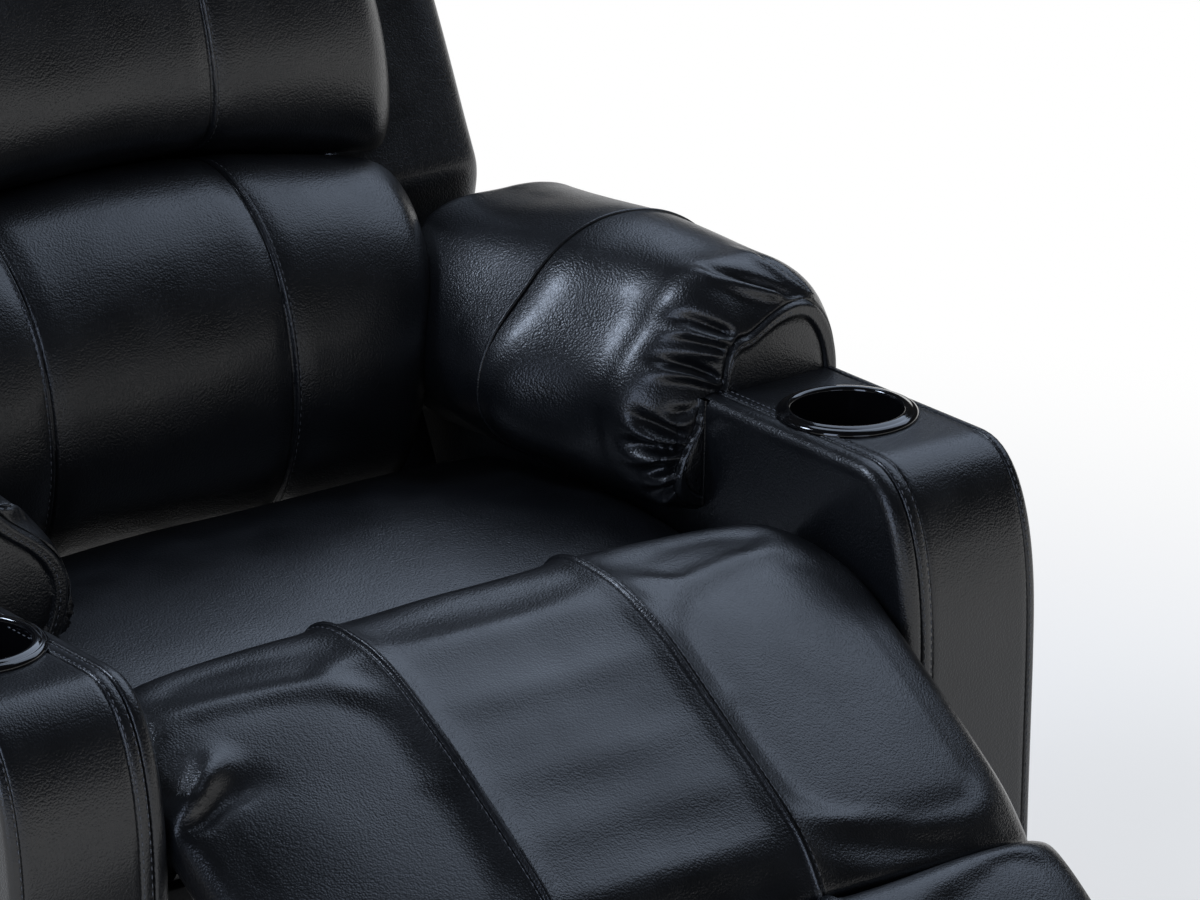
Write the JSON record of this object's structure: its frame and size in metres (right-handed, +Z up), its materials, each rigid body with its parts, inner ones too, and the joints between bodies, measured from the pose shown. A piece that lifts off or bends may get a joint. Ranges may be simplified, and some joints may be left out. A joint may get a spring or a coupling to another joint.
{
  "type": "power recliner chair",
  "caption": "Upholstered power recliner with padded arms, a cup holder in each arm, a powered footrest and a powered reclining back.",
  "frame": {"origin": "the middle of the chair's floor box, on the floor, with the footrest half open and the back leaning by 25 degrees", "axes": "+X is the sitter's left, +Y is behind the chair and -Y is the way that the sitter faces, +Z is up"},
  "size_m": [0.9506, 1.2724, 1.0192],
  "materials": {
    "leather": "black bonded leather, fine pebble grain, satin",
    "gloss_plastic": "glossy black ABS",
    "matte_plastic": "matt black plastic",
    "timber": "bare plywood and pine",
    "steel": "black painted and oiled steel"
  },
  "bodies": {
    "base": {"arm_cover_left": "leather", "arm_cover_right": "leather", "arm_frame_left": "timber", "arm_frame_right": "timber", "arm_pillow_left": "leather", "arm_pillow_right": "leather", "back_drive_motor": "matte_plastic", "back_drive_tube": "steel", "base_tie_front": "timber", "chaise_pad": "leather", "control_panel": "gloss_plastic", "cup_holder_left": "gloss_plastic", "cup_holder_right": "gloss_plastic", "foot_front_left": "matte_plastic", "foot_front_right": "matte_plastic", "foot_rear_left": "matte_plastic", "foot_rear_right": "matte_plastic", "footrest_drive_motor": "matte_plastic", "footrest_drive_tube": "steel", "power_inlet": "matte_plastic", "rear_panel": "leather", "seat_cushion": "leather", "seat_rail_front": "timber", "seat_rail_rear": "timber", "seat_spring_1": "steel", "seat_spring_2": "steel", "seat_spring_3": "steel", "side_plate_left": "steel", "side_plate_right": "steel"},
    "footrest": {"footrest_board": "timber", "footrest_pad": "leather", "footrest_bracket_left": "steel", "footrest_bracket_right": "steel"},
    "drive_links": {"drive_link_left": "steel", "drive_link_right": "steel", "torque_tube": "steel"},
    "idler_links": {"idler_link_left": "steel", "idler_link_right": "steel"},
    "lower_arms": {"lower_arm_left": "steel", "lower_arm_right": "steel"},
    "upper_arms": {"upper_arm_left": "steel", "upper_arm_right": "steel"},
    "footrest_drive_rod": {"footrest_drive_yoke": "steel"},
    "back": {"back_board": "timber", "back_rear_panel": "leather", "back_wing_left": "leather", "back_wing_right": "leather", "lumbar_pillow": "leather", "head_pillow": "leather", "back_bracket_left": "steel", "back_bracket_right": "steel", "back_shaft": "steel"},
    "back_drive_rod": {"back_drive_yoke": "steel"},
    "button_1": {"button_1": "matte_plastic"},
    "button_2": {"button_2": "matte_plastic"},
    "button_3": {"button_3": "matte_plastic"},
    "button_4": {"button_4": "matte_plastic"}
  },
  "joints": [
    {"name": "footrest_hinge", "type": "hinge", "parent": "base", "child": "footrest", "pos_m": [0, -0.35884, 0.56], "axis": [-1, 0, 0], "range_deg": [-52, 36], "deforming": ["chaise_pad"]},
    {"name": "drive_link_hinge", "type": "hinge", "parent": "base", "child": "drive_links", "pos_m": [0, -0.03884, 0.42], "axis": [-1, 0, 0], "range_deg": [-53, 37]},
    {"name": "idler_link_hinge", "type": "hinge", "parent": "base", "child": "idler_links", "pos_m": [0, -0.08684, 0.441], "axis": [-1, 0, 0], "range_deg": [-53, 37]},
    {"name": "lower_arm_hinge", "type": "hinge", "parent": "drive_links", "child": "lower_arms", "pos_m": [0, -0.10028, 0.07632], "axis": [-1, 0, 0], "range_deg": [-37, 53]},
    {"name": "upper_arm_hinge", "type": "hinge", "parent": "drive_links", "child": "upper_arms", "pos_m": [0, -0.09229, 0.121], "axis": [-1, 0, 0], "range_deg": [-37, 53]},
    {"name": "footrest_drive_slide", "type": "slide", "parent": "base", "child": "footrest_drive_rod", "axis": [0, -1, 0], "range_m": [-0.05874, 0.04073]},
    {"name": "back_hinge", "type": "hinge", "parent": "base", "child": "back", "pos_m": [0, 0.30616, 0.41], "axis": [-1, 0, 0], "range_deg": [-4, 33]},
    {"name": "back_drive_slide", "type": "slide", "parent": "base", "child": "back_drive_rod", "axis": [0, -1, 0], "range_m": [-0.00641, 0.0514]},
    {"name": "button_1_press", "type": "slide", "parent": "base", "child": "button_1", "axis": [1, 0, 0], "range_m": [0, 0.0015], "stiffness_N_per_m": 400, "springref_m": -0.001},
    {"name": "button_2_press", "type": "slide", "parent": "base", "child": "button_2", "axis": [1, 0, 0], "range_m": [0, 0.0015], "stiffness_N_per_m": 400, "springref_m": -0.001},
    {"name": "button_3_press", "type": "slide", "parent": "base", "child": "button_3", "axis": [1, 0, 0], "range_m": [0, 0.0015], "stiffness_N_per_m": 400, "springref_m": -0.001},
    {"name": "button_4_press", "type": "slide", "parent": "base", "child": "button_4", "axis": [1, 0, 0], "range_m": [0, 0.0015], "stiffness_N_per_m": 400, "springref_m": -0.001}
  ],
  "couplings": [
    {"joint": "drive_link_hinge", "follows": "footrest_hinge", "ratio": 1},
    {"joint": "idler_link_hinge", "follows": "footrest_hinge", "ratio": 1},
    {"joint": "lower_arm_hinge", "follows": "footrest_hinge", "ratio": -1},
    {"joint": "upper_arm_hinge", "follows": "footrest_hinge", "ratio": -1},
    {"joint": "footrest_drive_slide", "follows": "footrest_hinge", "m_per_rad": 0.0645},
    {"joint": "back_drive_slide", "follows": "back_hinge", "m_per_rad": 0.0889}
  ]
}
